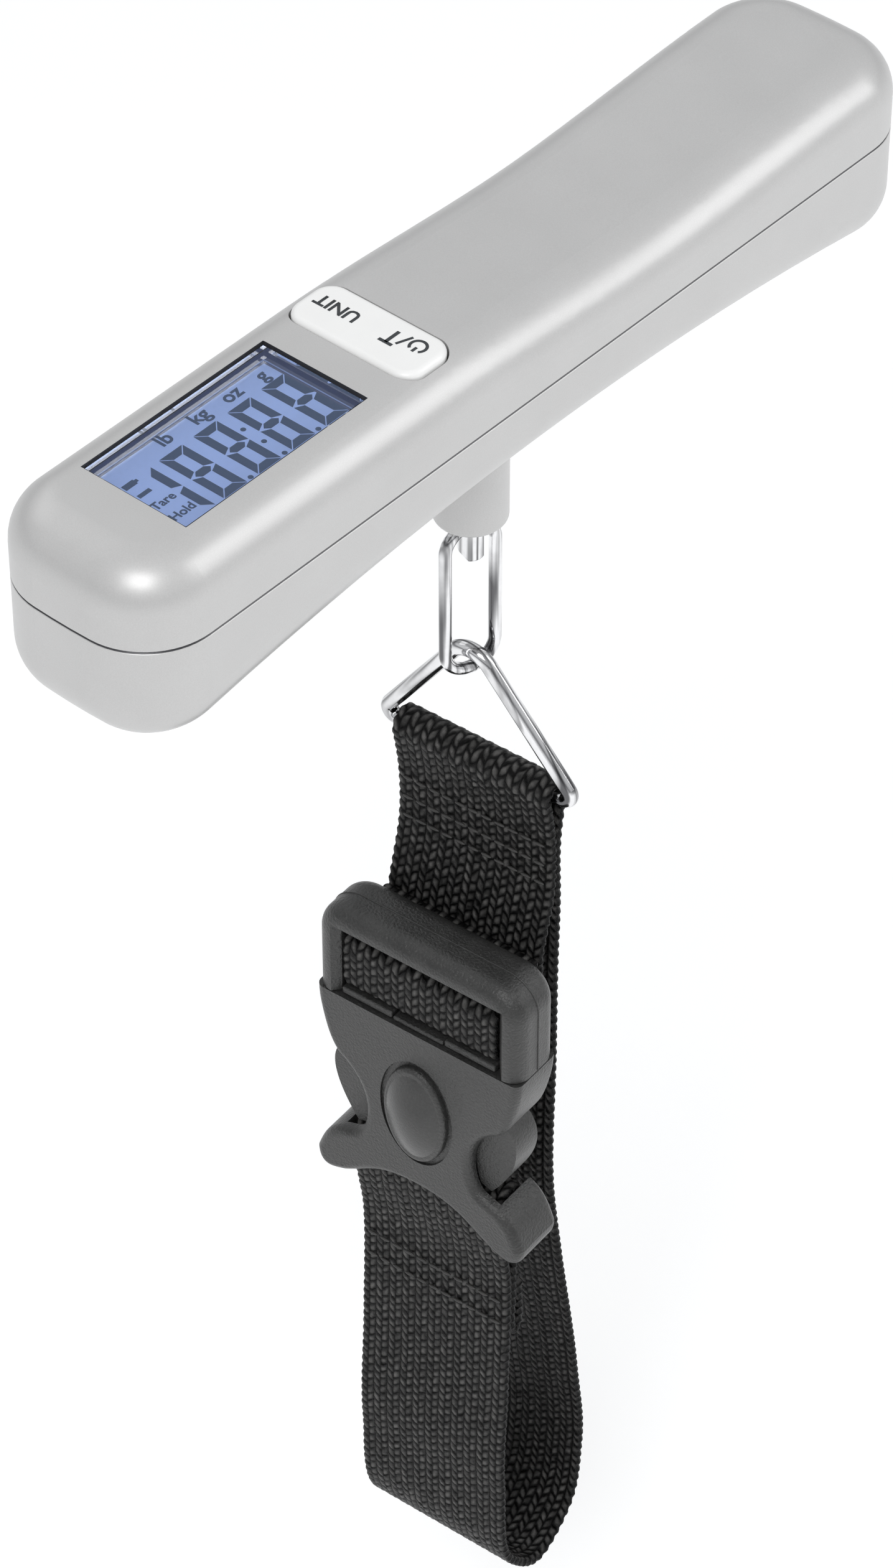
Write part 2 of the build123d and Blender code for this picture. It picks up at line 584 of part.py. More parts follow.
loop_r = LOOP_BAR_R + 0.15 + WEB_T / 2
HEM_Z = -168.0
with BuildPart() as strap_loop:
    with BuildLine(mode=Mode.PRIVATE) as loop_path:
        CenterArc((LOOP_BAR_X, LOOP_BAR_Z), loop_r, 0, 180)
        Spline((LOOP_BAR_X - loop_r, LOOP_BAR_Z), (-7.3, -157.0), (-7.6, -178.0), (-8.2, -200.0), (-5.2, -219.0),
               (1.2, -224.4), (8.4, -219.6), (11.0, -208.0), (9.4, -190.0), (4.6, -160.0),
               (2.6, SPLIT_Z - 0.1), tangents=((0, -1), (0, 1)))
        Spline((LOOP_BAR_X + loop_r, LOOP_BAR_Z), (-5.9, -152.0), (-6.0, HEM_Z), tangents=((0, -1), (0, -1)))
    with BuildSketch(hang_side()):
        ribbon(*loop_path.edges())
        # the tail's end is turned back on itself
        with Locations((-4.72, HEM_Z + 4.6)):
            Rectangle(WEB_T, 9.2)
        with Locations((-5.35, HEM_Z + 0.3)):
            Rectangle(2.5, 0.9)
    extrude(amount=WEB_W / 2, both=True)
save(strap_loop, "strap_loop")

# ================================================================ buckle: male side
with BuildPart() as buckle_frame:
    with BuildSketch(hang_front(BUCKLE_X0)):
        with BuildLine():
            Polyline((-BUCKLE_HALF, FRAME_FOOT), (-BUCKLE_HALF, FRAME_TOP), (BUCKLE_HALF, FRAME_TOP),
                     (BUCKLE_HALF, FRAME_FOOT), close=True)
        make_face()
    extrude(amount=BUCKLE_T)
    fillet(buckle_frame.edges().filter_by(DEPTH_AXIS).group_by(Axis.Z)[-1], 5.0)
    front = buckle_frame.faces().filter_by(DEPTH_AXIS).sort_by(DEPTH_AXIS)
    rims = front[0].edges() + front[-1].edges()
    fillet(rims.filter_by(lambda e: e.center().Z > FRAME_FOOT + 1), 2.6)
    with BuildSketch(hang_front(BUCKLE_X0 - 1)):
        with Locations((0, (SLOT_TOP + FRAME_FOOT) / 2 - 1)):
            Rectangle(2 * SLOT_HALF, SLOT_TOP - FRAME_FOOT + 2)
    extrude(amount=BUCKLE_T + 2, mode=Mode.SUBTRACT)
    # the slot's front rim slopes in
    with BuildSketch(hang_front(BUCKLE_X0)):
        with Locations((0, (SLOT_TOP + FRAME_FOOT + SLOT_BEVEL) / 2 - 1)):
            Rectangle(2 * (SLOT_HALF + SLOT_BEVEL), SLOT_TOP - FRAME_FOOT + SLOT_BEVEL + 2)
    extrude(amount=SLOT_BEVEL, taper=45, mode=Mode.SUBTRACT)
    # keeper bar across the slot, and the root block that the housing hides
    with BuildSketch(hang_side()):
        with Locations(((KEEPER_X0 + KEEPER_X1) / 2, (BAR_TOP + BAR_FOOT) / 2)):
            RectangleRounded(KEEPER_X1 - KEEPER_X0, BAR_TOP - BAR_FOOT, 0.8)
    extrude(amount=SLOT_HALF + 0.5, both=True)
    root_x = BUCKLE_X0 + PLATE_FRONT + 0.3
    with BuildSketch(hang_side()):
        with Locations((root_x + ARM_T / 2, FRAME_FOOT - 1.5)):
            Rectangle(ARM_T, 3.0)
    extrude(amount=THROAT_HALF - 0.25, both=True)
    # centre prong that guides the frame into the housing
    with BuildSketch(hang_front(root_x)):
        with BuildLine():
            Polyline((-3.0, FRAME_FOOT - 2), (3.0, FRAME_FOOT - 2), (2.2, -134.0), (-2.2, -134.0), close=True)
        make_face()
    extrude(amount=ARM_T)
save(buckle_frame, "buckle_frame")


def latch_arm(side):
    """One springy arm with its thumb pad, on the left (+1) or the right (-1)."""
    with BuildPart() as arm:
        with BuildSketch(hang_front(root_x)):
            with BuildLine():
                Spline((side * 8.4, HINGE_Z + ARM_ROOT), (side * 8.9, -122.0), (side * 8.6, -130.0),
                       (side * 9.6, -136.0))
                Line((side * 9.6, -136.0), (side * 11.4, -136.6))
                Spline((side * 11.4, -136.6), (side * 14.4, -131.5), (side * 15.1, -125.0),
                       (side * 13.2, -122.4))
                Line((side * 13.2, -122.4), (side * 11.6, -121.6))
                Spline((side * 11.6, -121.6), (side * 11.0, -118.5), (side * 11.2, HINGE_Z + ARM_ROOT))
                Line((side * 11.2, HINGE_Z + ARM_ROOT), (side * 8.4, HINGE_Z + ARM_ROOT))
            make_face()
        extrude(amount=ARM_T)
    return arm


latch_left = latch_arm(1)
save(latch_left, "latch_arm_left")
latch_right = latch_arm(-1)
save(latch_right, "latch_arm_right")

# ================================================================ buckle: housing
with BuildPart() as buckle_housing:
    with BuildSketch(hang_front(BUCKLE_X0)) as face:
        with BuildLine():
            top = Line((0, HOUSING_TOP), (BUCKLE_HALF, HOUSING_TOP))
            flank = Spline(top @ 1, (16.2, -117.5), (13.6, -123.4), tangents=((0, -1), (-1, -1.1)))
            notch = Spline(flank @ 1, (10.4, -126.4), (8.9, -131.0), (9.6, -135.6), (12.4, -137.6),
                           tangents=((-1, -0.6), (1, -0.3)))
            foot = Spline(notch @ 1, (15.4, -139.6), (17.6, -144.0), tangents=((1, -0.4), (0.35, -1)))
            toe = Spline(foot @ 1, (16.0, -147.0), (12.6, -146.3), tangents=((0, -1), (-1, 0.4)))
            sole = Spline(toe @ 1, (6.5, -142.6), (0, -141.4), tangents=((-1, 0.55), (-1, 0)))
            Line(sole @ 1, top @ 0)
        make_face()
        mirror(about=Plane.YZ)
    extrude(amount=BUCKLE_T)
    skins = buckle_housing.faces().filter_by(DEPTH_AXIS).sort_by(DEPTH_AXIS)
    rims = skins[0].edges() + skins[-1].edges()
    fillet(rims.filter_by(lambda e: e.center().Z < HOUSING_TOP - 1), 1.3)
    # throat and chamber for the arms, open at the top
    chamber_x = BUCKLE_X0 + (PLATE_FRONT + BUCKLE_T - PLATE_BACK) / 2
    chamber_t = BUCKLE_T - PLATE_FRONT - PLATE_BACK
    with BuildSketch(hang_level(HOUSING_TOP)):
        with Locations((chamber_x, 0)):
            Rectangle(chamber_t, 2 * THROAT_HALF)
    extrude(amount=-(HOUSING_TOP + 138.0), mode=Mode.SUBTRACT)
    with BuildSketch(hang_front(BUCKLE_X0 + PLATE_FRONT)):
        for side in (-1, 1):
            with Locations((side * 15.0, -129.75)):
                Rectangle(6.0, 15.5)
    extrude(amount=chamber_t, mode=Mode.SUBTRACT)
    # the strap's end of the housing is open at the back, with a bar from foot to foot
    with BuildSketch(hang_side()):
        with Locations((BUCKLE_X0 + PLATE_FRONT + 6, -144.0)):
            Rectangle(12, 14)
    extrude(amount=STRAP_HALF, both=True, mode=Mode.SUBTRACT)
    with BuildSketch(hang_side()):
        with Locations((LOOP_BAR_X, LOOP_BAR_Z)):
            Circle(LOOP_BAR_R)
    extrude(amount=STRAP_HALF + 1, both=True)
    # raised oval with a groove round it
    with BuildSketch(hang_front(BUCKLE_X0 + 0.4)):
        with Locations((0, OVAL_Z)):
            Ellipse(OVAL_A + 0.9, OVAL_B + 0.9)
            Ellipse(OVAL_A, OVAL_B, mode=Mode.SUBTRACT)
    extrude(amount=-1.0, mode=Mode.SUBTRACT)
    with BuildSketch(hang_front(BUCKLE_X0 + 0.1)):
        with Locations((0, OVAL_Z)):
            Ellipse(OVAL_A, OVAL_B)
    extrude(amount=-0.9)
    fillet(buckle_housing.faces().filter_by(DEPTH_AXIS).sort_by(DEPTH_AXIS)[0].edges(), 0.7)
save(buckle_housing, "buckle_housing")
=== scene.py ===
from math import cos, pi, radians, sin

import bpy
import numpy as np
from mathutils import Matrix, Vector


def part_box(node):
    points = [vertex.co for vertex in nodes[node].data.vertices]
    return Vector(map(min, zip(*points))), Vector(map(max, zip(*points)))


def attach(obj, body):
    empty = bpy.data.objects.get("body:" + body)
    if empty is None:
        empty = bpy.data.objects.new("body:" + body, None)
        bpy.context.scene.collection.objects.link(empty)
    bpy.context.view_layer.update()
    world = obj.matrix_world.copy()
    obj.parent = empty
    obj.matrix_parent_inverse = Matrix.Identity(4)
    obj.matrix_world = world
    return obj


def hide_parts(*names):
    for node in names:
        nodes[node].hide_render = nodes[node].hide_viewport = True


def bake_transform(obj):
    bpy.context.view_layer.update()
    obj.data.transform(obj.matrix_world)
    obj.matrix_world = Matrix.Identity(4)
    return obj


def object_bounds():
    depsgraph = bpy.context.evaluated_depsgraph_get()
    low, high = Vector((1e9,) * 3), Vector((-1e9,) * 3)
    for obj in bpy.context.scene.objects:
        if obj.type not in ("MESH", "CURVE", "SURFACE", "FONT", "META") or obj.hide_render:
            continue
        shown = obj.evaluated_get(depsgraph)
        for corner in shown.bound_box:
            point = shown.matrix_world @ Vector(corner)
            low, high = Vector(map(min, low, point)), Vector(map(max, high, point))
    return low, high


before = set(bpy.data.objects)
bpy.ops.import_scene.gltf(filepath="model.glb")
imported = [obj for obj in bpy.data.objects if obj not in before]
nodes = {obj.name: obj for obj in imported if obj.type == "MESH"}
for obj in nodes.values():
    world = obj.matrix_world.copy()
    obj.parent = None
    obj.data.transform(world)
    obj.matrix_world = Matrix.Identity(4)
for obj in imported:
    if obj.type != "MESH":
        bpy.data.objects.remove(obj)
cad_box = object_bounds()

MM = 0.001

# ---------------------------------------------------------------- camera
# A long lens looks down at the scale from beside the display end, as a catalogue view does.
# The focal length is in millimetres on a sensor whose long side is 36 mm.
for leftover in ("Cube", "Light", "Camera"):
    if leftover in bpy.data.objects:
        bpy.data.objects.remove(bpy.data.objects[leftover])


def back_from(azimuth, elevation):
    """Unit vector towards a viewer at an azimuth and an elevation: the sines and cosines of both."""
    a, e = radians(azimuth), radians(elevation)
    return Vector((sin(a) * cos(e), -cos(a) * cos(e), sin(e)))


VIEW_AZIMUTH, VIEW_ELEVATION = -48.99, 42.58
viewpoint = bpy.data.objects.new("viewpoint", bpy.data.cameras.new("viewpoint"))
viewpoint.data.sensor_width = 36
viewpoint.data.lens = 128.57
viewpoint.data.clip_start, viewpoint.data.clip_end = 0.01, 20
viewpoint.location = (-0.4095, -0.3521, 0.4215)
viewpoint.rotation_euler = (-back_from(VIEW_AZIMUTH, VIEW_ELEVATION)).to_track_quat("-Z", "Y").to_euler()
bpy.context.collection.objects.link(viewpoint)
bpy.context.scene.camera = viewpoint


# ---------------------------------------------------------------- shader writing
class Socket:
    """A shader value; Python's operators on it add the Math nodes that compute the same thing."""

    def __init__(self, graph, output):
        self.graph, self.output = graph, output

    def maths(self, operation, *values):
        return self.graph.node("Math", {"operation": operation}, dict(enumerate(values)))

    def __add__(self, other):
        return self.maths("ADD", self, other)

    def __radd__(self, other):
        return self.maths("ADD", other, self)

    def __sub__(self, other):
        return self.maths("SUBTRACT", self, other)

    def __rsub__(self, other):
        return self.maths("SUBTRACT", other, self)

    def __mul__(self, other):
        return self.maths("MULTIPLY", self, other)

    def __rmul__(self, other):
        return self.maths("MULTIPLY", other, self)

    def __truediv__(self, other):
        return self.maths("DIVIDE", self, other)

    def __pow__(self, other):
        return self.maths("POWER", self, other)

    def __lt__(self, other):
        return self.maths("LESS_THAN", self, other)

    def __gt__(self, other):
        return self.maths("GREATER_THAN", self, other)

    def floor(self):
        return self.maths("FLOOR", self)

    def fract(self):
        return self.maths("FRACT", self)

    def abs(self):
        return self.maths("ABSOLUTE", self)

    def sine(self):
        return self.maths("SINE", self)

    def sqrt(self):
        return self.maths("SQRT", self)

    def least(self, other):
        return self.maths("MINIMUM", self, other)

    def most(self, other):
        return self.maths("MAXIMUM", self, other)


class Graph:
    """One material: a Principled shader whose sockets take numbers, colours or Sockets."""

    def __init__(self, name, kind=bpy.data.materials):
        self.material = kind.new(name)
        self.material.use_nodes = True
        self.tree = self.material.node_tree
        self.tree.nodes.clear()

    def node(self, kind, settings=None, inputs=None, output=0):
        """Adds a node; its settings go first, then its sockets get values or links."""
        made = self.tree.nodes.new("ShaderNode" + kind)
        for key, value in (settings or {}).items():
            setattr(made, key, value)
        for key, value in (inputs or {}).items():
            if isinstance(value, Socket):
                self.tree.links.new(value.output, made.inputs[key])
            else:
                made.inputs[key].default_value = value
        return Socket(self, made.outputs[output]) if made.outputs else None

    def place(self):
        """Object coordinates, in metres in the frame."""
        return self.node("TexCoord", output="Object")

    def axes(self, vector):
        """The three parts of a vector, as separate values."""
        split = self.node("SeparateXYZ", inputs={0: vector}).output.node
        return [Socket(self, output) for output in split.outputs]

    def noise(self, size, detail=2.0, where=None):
        """Soft noise, 0 to 1, whose features are about size metres across."""
        sockets = {"Vector": where or self.place(), "Scale": 1 / size, "Detail": detail}
        return self.node("TexNoise", inputs=sockets)

    def mix(self, factor, low, high):
        """Colour low where factor is 0 and high where it is 1."""
        low, high = (tint if isinstance(tint, Socket) else (*tint, 1) for tint in (low, high))
        return self.node("Mix", {"data_type": "RGBA"}, {0: factor, 6: low, 7: high}, output=2)

    def bump(self, height, distance):
        """Normals of a surface raised by height times distance metres."""
        return self.node("Bump", inputs={"Height": height, "Distance": distance, "Strength": 1.0})

    def shade(self, **sockets):
        """Closes the material; a name such as Base_Color stands for the socket Base Color."""
        inputs = {key.replace("_", " "): value for key, value in sockets.items()}
        for key in ("Base Color", "Emission Color", "Sheen Tint", "Specular Tint"):
            if key in inputs and not isinstance(inputs[key], Socket):
                inputs[key] = (*inputs[key], 1)
        surface = self.node("BsdfPrincipled", inputs=inputs)
        self.node("OutputMaterial", inputs={"Surface": surface})
        return self.material


def wear(*names, material):
    """Gives finished CAD nodes one material."""
    for name in names:
        nodes[name].data.materials.clear()
        nodes[name].data.materials.append(material)


def moulded(name, low, high, grain, height, roughness, metallic=0.0, mottle=4 * MM, **extra):
    """A plain finish: colour drifts between two tints over the mottle, fine grain roughens and raises it."""
    g = Graph(name)
    drift, speck = g.noise(mottle), g.noise(grain, 3.0)
    tone = drift * 0.6 + speck * 0.4
    return g.shade(Base_Color=g.mix(tone, low, high), Roughness=roughness + (speck - 0.5) * 0.12,
                   Metallic=metallic, Normal=g.bump(speck, height), **extra)


# ---------------------------------------------------------------- casing
# Two moulded half shells and a battery door, sprayed in a pearl silver lacquer whose fine
# flakes show as a slight sparkle.  The halves meet at a thin bevelled parting line.
WINDOW_X, WINDOW_HALF_L, WINDOW_HALF_W = -43.8 * MM, 15.5 * MM, 8.2 * MM


def pearl(name):
    """Silver lacquer: base colour wavers with fine flakes, and a thin clear coat lies on top.
    Painted dark tones stand in for the shadow in two places: within a hair of the parting line,
    at height 0, and on the walls of the window's opening."""
    g = Graph(name)
    flake = g.noise(0.16 * MM, 2.0)
    cloud = g.noise(9 * MM, 2.0)
    orange_peel = g.noise(0.5 * MM, 1.0)
    tone = flake * 0.7 + cloud * 0.3
    lacquer = g.mix(tone, (0.455, 0.452, 0.450), (0.600, 0.597, 0.594))
    x, y, z = g.axes(g.place())
    parting = (z - 0.05 * MM).abs() < 0.2 * MM
    opening = ((x - WINDOW_X).abs() < WINDOW_HALF_L + 0.12 * MM) * (y.abs() < WINDOW_HALF_W + 0.12 * MM)
    return g.shade(Base_Color=g.mix(parting.most(opening), lacquer, (0.05, 0.05, 0.055)),
                   Roughness=0.40 + (flake - 0.5) * 0.16, Metallic=0.3,
                   Normal=g.bump(orange_peel * 0.5 + flake * 0.5, 0.008 * MM),
                   Coat_Weight=0.25, Coat_Roughness=0.22)


wear("upper_shell", "lower_shell", "battery_cover", material=pearl("pearl_silver"))

zinc = moulded("zinc_plate", (0.52, 0.52, 0.5), (0.68, 0.68, 0.65), 0.1 * MM, 0.004 * MM, 0.32, 1.0)
wear("casing_screws", "load_cell_screws", "eye_nut", material=zinc)

# ---------------------------------------------------------------- display window
# A clear acrylic block fills the opening in the top; its sides are polished, so that the
# display behind it seems to float, with dark bands where the side walls are seen through it.
g = Graph("clear_acrylic")
wear("display_window", material=g.shade(
    Base_Color=(0.93, 0.96, 1.0), Roughness=0.015 + g.noise(2 * MM) * 0.02, IOR=1.49,
    Transmission_Weight=1.0))

# ---------------------------------------------------------------- display cell
# The liquid crystal cell, lit blue from behind by its light guide.  The light is a little
# stronger along the middle.  A dark band painted round the cell's edge, with a thin lighter line
# in it, stands in for the shaded side walls of the window seen through the acrylic.
WINDOW_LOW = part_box("display_window")[0]
CELL_LOW, CELL_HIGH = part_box("display_glass")
CELL_MID = (Vector(CELL_LOW) + Vector(CELL_HIGH)) / 2
g = Graph("blue_display")
along, across = g.axes(g.place())[:2]
fall = ((across - CELL_MID.y) / (CELL_HIGH[1] - CELL_LOW[1])).abs()
inset = (WINDOW_HALF_L - (along - CELL_MID.x).abs()).least(WINDOW_HALF_W - (across - CELL_MID.y).abs()) / MM
BORDER, LINE_START, LINE_END = 1.1, 0.5, 0.7
# Painted shade: a dark band round the cell's edge, less dark along a thin line inside it.
painted_wall_band = (inset < BORDER) * (1 - (inset > LINE_START) * (inset < LINE_END) * 0.6)
backlight_with_painted_band = (1.0 - fall * 0.35) * (0.94 + g.noise(0.7 * MM) * 0.12) * (1 - painted_wall_band)
wear("display_glass", material=g.shade(
    Base_Color=g.mix(backlight_with_painted_band, (0.02, 0.03, 0.08), (0.20, 0.28, 0.50)), Roughness=0.2,
    Emission_Color=g.mix(backlight_with_painted_band, (0.03, 0.05, 0.13), (0.24, 0.345, 0.66)), Emission_Strength=0.54))


def piece_of(name, points, faces, material, smooth=False):
    """New piece in one material, from points in mm and faces that name them."""
    mesh = bpy.data.meshes.new(name)
    mesh.from_pydata((points * MM).tolist(), [], faces)
    if smooth:
        mesh.shade_smooth()
    mesh.materials.append(material)
    piece = bpy.data.objects.new(name, mesh)
    bpy.context.collection.objects.link(piece)
    return piece


def fasten(piece, body):
    """The piece rides on a body."""
    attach(piece, body)
    return piece


def plates(name, outlines, z, thick, material, body="handle", axes=np.eye(3)):
    """Prisms: each outline in the first two axes runs from z down to z minus thick along the third."""
    points, faces, start = [], [], 0
    for outline in outlines:
        flat = np.asarray(outline, float)
        count = len(flat)
        for height in (z, z - thick):
            points.append(np.column_stack([flat, np.full(count, height)]))
        turn = np.sign(np.sum(flat[:, 0] * np.roll(flat[:, 1], -1) - np.roll(flat[:, 0], -1) * flat[:, 1]))
        ring = np.arange(count) if turn > 0 else np.arange(count)[::-1]
        faces.append((start + ring).tolist())
        faces.append((start + count + ring[::-1]).tolist())
        after = np.roll(ring, -1)
        walls = start + np.column_stack([ring, count + ring, count + after, after])
        faces += walls.tolist()
        start += 2 * count
    return fasten(piece_of(name, np.concatenate(points) @ axes, faces, material), body)


def words(name, phrases, z, thick, material, body):
    """Short generic marks: each phrase is text, the place of its centre in mm, cap height and turn."""
    solids = []
    for text, x, y, cap, turn in phrases:
        curve = bpy.data.curves.new(text, "FONT")
        curve.body, curve.size, curve.extrude = text, cap / 0.7, 0.0
        curve.align_x, curve.align_y = "CENTER", "CENTER"
        curve.resolution_u, curve.offset = 3, 0.035 * cap
        typed = bpy.data.objects.new(text, curve)
        mesh = bpy.data.meshes.new_from_object(typed)
        flat = np.empty(3 * len(mesh.vertices))
        mesh.vertices.foreach_get("co", flat)
        flat = flat.reshape(-1, 3)[:, :2]
        c, s = cos(radians(turn)), sin(radians(turn))
        flat = flat @ np.array([[c, s], [-s, c]]) + (x, y)
        mesh.vertices.foreach_set("co", np.column_stack([flat, np.full(len(flat), z)]).ravel() * MM)
        solids.append(mesh)
        bpy.data.objects.remove(typed)
    piece = bpy.data.objects.new(name, solids[0])
    bpy.context.collection.objects.link(piece)
    for mesh in solids[1:]:
        extra = bpy.data.objects.new("extra", mesh)
        bpy.context.collection.objects.link(extra)
        with bpy.context.temp_override(active_object=piece, selected_editable_objects=[piece, extra]):
            bpy.ops.object.join()
    solidify = piece.modifiers.new("depth", "SOLIDIFY")
    solidify.thickness, solidify.offset = thick * MM, -1
    piece.data.materials.clear()
    piece.data.materials.append(material)
    return fasten(piece, body)


# ---------------------------------------------------------------- display segments
# Dark segments in the cell: a leading one, four full digits with their points and colon, a
# minus bar, a battery sign and the small unit and mode words.
DIGIT_W, DIGIT_H, STROKE, SPACE = 4.0, 10.4, 1.22, 0.2
DIGIT_PITCH = 5.86
LCD_X = WINDOW_LOW[0] / MM + 2.75
LCD_Y = WINDOW_LOW[1] / MM + 3.05
INK_Z, INK_T = CELL_HIGH[2] / MM + 0.03, 0.02


def digit(x, y, lit):
    """Seven-segment digit with mitred bars; lit names the bars a to g."""
    half, low, high = STROKE / 2, SPACE / 2, DIGIT_H / 2

    def level(z, up):
        tip = STROKE * up
        return [(low, z), (DIGIT_W - low, z), (DIGIT_W - STROKE - low, z + tip), (STROKE + low, z + tip)]

    left, right = STROKE + low, DIGIT_W - STROKE - low
    middle = [(low + half, high), (left, high + half), (right, high + half),
              (DIGIT_W - low - half, high), (right, high - half), (left, high - half)]

    def upright(flip, bottom, top, inner_bottom, inner_top):
        side = [(0, bottom), (STROKE, inner_bottom), (STROKE, inner_top), (0, top)]
        return [(DIGIT_W - px if flip else px, pz) for px, pz in side]

    ends = (low, high - low, STROKE + low, high - half - low)
    tops = (high + low, DIGIT_H - low, high + half + low, DIGIT_H - STROKE - low)
    bars = {"a": level(DIGIT_H, -1), "d": level(0, 1), "g": middle,
            "f": upright(False, *tops), "b": upright(True, *tops),
            "e": upright(False, *ends), "c": upright(True, *ends)}
    return [[(x + px, y + pz) for px, pz in bars[bar]] for bar in lit]


def disc(x, y, radius, count=20):
    """Round dot: cosine and sine of equal turns."""
    turn = np.linspace(0, 2 * pi, count, endpoint=False)
    return np.column_stack([x + radius * np.cos(turn), y + radius * np.sin(turn)])


def block(x, y, w, h):
    """Upright rectangle about a centre."""
    return [(x - w / 2, y - h / 2), (x + w / 2, y - h / 2), (x + w / 2, y + h / 2), (x - w / 2, y + h / 2)]


g = Graph("display_ink")
speck = g.noise(0.3 * MM)
# Painted light: the dark segments glow a faint blue of their own, standing in for the backlight showing
# through them.
ink = g.shade(Base_Color=g.mix(speck, (0.003, 0.006, 0.014), (0.006, 0.011, 0.022)), Roughness=0.7,
              Emission_Color=(0.004, 0.028, 0.085), Emission_Strength=1.0, Specular_IOR_Level=0.1)
marks = digit(LCD_X + 1.4, LCD_Y, "bc")
for place in range(4):
    marks += digit(LCD_X + 6.85 + place * DIGIT_PITCH, LCD_Y, "abcdefg")
for place in (1, 2, 3):
    marks.append(disc(LCD_X + 5.85 + place * DIGIT_PITCH, LCD_Y + 0.35, 0.36))
for rise in (3.6, 6.9):
    marks.append(disc(LCD_X + 5.85 + 2 * DIGIT_PITCH, LCD_Y + rise, 0.36))
marks += [block(LCD_X + 1.5, LCD_Y + 7.6, 2.0, 0.65), block(LCD_X + 1.4, LCD_Y + 9.9, 1.9, 0.95),
          block(LCD_X + 2.55, LCD_Y + 9.9, 0.4, 0.5)]
plates("display_segments", marks, INK_Z, INK_T, ink)
unit_words = [("lb", 10.1, 12.75, 2.05, 0), ("kg", 15.9, 12.55, 2.05, 0), ("oz", 21.4, 12.45, 2.05, 0),
              ("g", 26.4, 12.2, 2.05, 0), ("Tare", 1.85, 5.1, 1.3, 0), ("Hold", 2.0, 2.2, 1.3, 0)]
words("display_words", [(t, LCD_X + x, LCD_Y + y - 0.15, cap, turn) for t, x, y, cap, turn in unit_words],
      INK_Z, INK_T, ink, "handle")

# ---------------------------------------------------------------- display fittings and board
# Behind the window: the light guide, the black frame that clamps the cell, the conductive
# rubber strips, and the green board with its chips and two key switches.
wear("display_backlight", material=moulded("light_guide", (0.62, 0.7, 0.85), (0.75, 0.82, 0.92), 0.4 * MM,
                                           0.01 * MM, 0.3))
black_moulding = moulded("black_moulding", (0.012, 0.012, 0.013), (0.035, 0.035, 0.037), 0.12 * MM,
                         0.01 * MM, 0.5)
wear("display_frame", "board_chips", "key_switches", material=black_moulding)
g = Graph("layered_rubber")
layer = g.axes(g.place())[0] / (0.1 * MM)
wear("zebra_strips", material=g.shade(
    Base_Color=g.mix(layer.fract() > 0.5, (0.30, 0.27, 0.25), (0.02, 0.02, 0.02)), Roughness=0.6))
g = Graph("solder_mask")
x, y, z = g.axes(g.place())
track = ((x / (1.27 * MM)).fract() > 0.62).most((y / (2.54 * MM)).fract() > 0.8)
wear("circuit_board", material=g.shade(
    Base_Color=g.mix(track, (0.008, 0.07, 0.025), (0.02, 0.15, 0.05)), Roughness=0.28,
    Normal=g.bump(track, 0.03 * MM)))

# ---------------------------------------------------------------- rocker button
# One white moulded key that tips on a centre pivot, with a fine satin skin.  Its two ends
# carry printed marks: a unit word, and a standby sign with a T for tare.
wear("rocker_button", material=moulded("white_key", (0.80, 0.80, 0.79), (0.87, 0.87, 0.865), 0.14 * MM,
                                       0.006 * MM, 0.38, Coat_Weight=0.1))
BUTTON_LOW, BUTTON_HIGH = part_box("rocker_button")
KEY_X = (BUTTON_LOW[0] + BUTTON_HIGH[0]) / 2 / MM
PRINT_Z, PRINT_T = BUTTON_HIGH[2] / MM + 0.03, 0.025
print_ink = moulded("print_ink", (0.018, 0.022, 0.026), (0.04, 0.045, 0.05), 0.2 * MM, 0.002 * MM, 0.5)


def bar(x0, y0, x1, y1, width):
    """Straight stroke between two points, half its width to either side."""
    along = np.array([x1 - x0, y1 - y0], float)
    aside = np.array([-along[1], along[0]]) / np.hypot(*along) * width / 2
    a, b = np.array([x0, y0]), np.array([x1, y1])
    return [a + aside, b + aside, b - aside, a - aside][::-1]


def standby(x, y, radius, width, gap):
    """Ring open towards -x by gap degrees each side, with a short bar through the opening."""
    turn = np.radians(np.linspace(180 + gap, 540 - gap, 40))
    around = np.column_stack([np.cos(turn), np.sin(turn)])
    outer, inner = around * (radius + width / 2) + (x, y), around[::-1] * (radius - width / 2) + (x, y)
    quads = [[outer[i], outer[i + 1], inner[-2 - i], inner[-1 - i]] for i in range(len(outer) - 1)]
    return quads + [bar(x - radius * 1.12, y, x - radius * 0.25, y, width)]


T_FOOT, T_TOP, T_Y, T_STROKE = 1.9, -0.65, -3.2, 0.5
key_marks = standby(KEY_X + 1.25, -6.75, 1.08, 0.4, 38)
key_marks += [bar(KEY_X + T_FOOT, T_Y, KEY_X + T_TOP, T_Y, T_STROKE),
              bar(KEY_X + T_TOP, T_Y - 1.05, KEY_X + T_TOP, T_Y + 1.05, T_STROKE),
              bar(KEY_X + 2.15, -5.2, KEY_X - 0.1, -4.35, 0.38)]
plates("key_signs", key_marks, PRINT_Z, PRINT_T, print_ink, "rocker")
unit_word = [("UNIT", KEY_X + 0.55, 5.35, 1.95, 90)]
words("key_word", unit_word, PRINT_Z, PRINT_T, print_ink, "rocker")

# ---------------------------------------------------------------- batteries
# Two slim cells in printed sleeves, between nickel plates with wound springs.
g = Graph("cell_sleeve")
x, y, z = g.axes(g.place())
band = (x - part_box("battery_cells")[0][0]) > 33 * MM
wear("battery_cells", material=g.shade(
    Base_Color=g.mix(band, (0.02, 0.022, 0.026), (0.55, 0.33, 0.10)), Metallic=0.3,
    Roughness=0.3 + g.noise(1 * MM) * 0.1))
nickel = moulded("nickel", (0.6, 0.58, 0.53), (0.72, 0.7, 0.66), 0.15 * MM, 0.004 * MM, 0.28, 1.0)
wear("battery_plates", "battery_springs", material=nickel)

